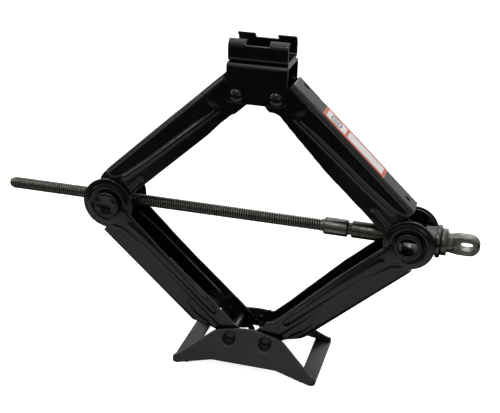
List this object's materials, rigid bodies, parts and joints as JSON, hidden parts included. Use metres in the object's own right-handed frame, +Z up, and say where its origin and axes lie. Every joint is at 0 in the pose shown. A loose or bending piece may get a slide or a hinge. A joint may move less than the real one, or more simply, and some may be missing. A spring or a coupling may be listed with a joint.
{
  "type": "scissor car jack",
  "caption": "Folding scissor jack: two pairs of pressed arms on a base, closed by a turning screw so that a slotted saddle lifts.",
  "frame": {"origin": "On the ground, under the middle of the base, half-way between the two base pivots", "axes": "+Z up; +X along the lifting screw towards the drive eye; -Y the side the labels and the picture's camera are on"},
  "size_m": [0.4101, 0.077, 0.2831],
  "materials": {
    "base_paint": "satin dark grey paint",
    "black_coat": "semi-gloss black dip coat",
    "screw_steel": "phosphated, oiled forged steel",
    "bright_steel": "turned steel, lightly oiled",
    "bearing_steel": "pressed and hardened steel",
    "ball_steel": "polished balls",
    "label_vinyl": "printed vinyl label"
  },
  "bodies": {
    "base": {"base_plate": "base_paint", "base_rivet_left": "black_coat", "base_rivet_right": "black_coat"},
    "lower_left": {"lower_arm_left": "black_coat"},
    "lower_right": {"lower_arm_right": "black_coat"},
    "upper_left": {"upper_arm_left": "black_coat", "label_left": "label_vinyl"},
    "upper_right": {"upper_arm_right": "black_coat", "label_right": "label_vinyl"},
    "nut": {"nut_trunnion": "black_coat"},
    "thrust": {"thrust_trunnion": "black_coat", "bearing_race": "bearing_steel"},
    "head": {"top_bracket": "black_coat", "saddle": "black_coat", "saddle_rivets": "black_coat", "bracket_rivet_left": "black_coat", "bracket_rivet_right": "black_coat"},
    "screw": {"drive_screw": "screw_steel", "stop_collar": "bright_steel", "spacer_tube": "bright_steel", "bearing_cup": "bearing_steel"},
    "cage": {"ball_cage": "bearing_steel", "bearing_balls": "ball_steel"}
  },
  "joints": [
    {"name": "fold", "type": "hinge", "parent": "base", "child": "lower_left", "pos_m": [-0.016, 0, 0.0245], "axis": [0, 1, 0], "range_deg": [-36.9, 36]},
    {"name": "base_pivot_right", "type": "hinge", "parent": "base", "child": "lower_right", "pos_m": [0.016, 0, 0.0245], "axis": [0, 1, 0], "range_deg": [-36, 36.9]},
    {"name": "elbow_left", "type": "hinge", "parent": "lower_left", "child": "upper_left", "pos_m": [-0.12768, 0, 0.13198], "axis": [0, 1, 0], "range_deg": [-72, 73.8]},
    {"name": "elbow_right", "type": "hinge", "parent": "lower_right", "child": "upper_right", "pos_m": [0.12768, 0, 0.13198], "axis": [0, 1, 0], "range_deg": [-73.8, 72]},
    {"name": "nut_swivel", "type": "hinge", "parent": "lower_left", "child": "nut", "pos_m": [-0.12768, 0, 0.13198], "axis": [0, 1, 0], "range_deg": [-36, 36.9]},
    {"name": "thrust_swivel", "type": "hinge", "parent": "lower_right", "child": "thrust", "pos_m": [0.12768, 0, 0.13198], "axis": [0, 1, 0], "range_deg": [-36.9, 36]},
    {"name": "bracket_pivot_right", "type": "hinge", "parent": "upper_right", "child": "head", "pos_m": [0.016, 0, 0.23946], "axis": [0, 1, 0], "range_deg": [-36, 36.9]},
    {"name": "screw_spin", "type": "hinge", "parent": "thrust", "child": "screw", "pos_m": [0.12768, 0, 0.13198], "axis": [1, 0, 0], "range_deg": [-22516, 23079]},
    {"name": "cage_spin", "type": "hinge", "parent": "thrust", "child": "cage", "pos_m": [0.12768, 0, 0.13198], "axis": [1, 0, 0], "range_deg": [-11259, 11540]}
  ],
  "couplings": [
    {"joint": "base_pivot_right", "follows": "fold", "ratio": -1},
    {"joint": "elbow_left", "follows": "fold", "ratio": -2},
    {"joint": "elbow_right", "follows": "fold", "ratio": 2},
    {"joint": "nut_swivel", "follows": "fold", "ratio": -1},
    {"joint": "thrust_swivel", "follows": "fold", "ratio": 1},
    {"joint": "bracket_pivot_right", "follows": "fold", "ratio": -1},
    {"joint": "screw_spin", "follows": "fold", "ratio": -625.4},
    {"joint": "cage_spin", "follows": "fold", "ratio": -312.7}
  ]
}
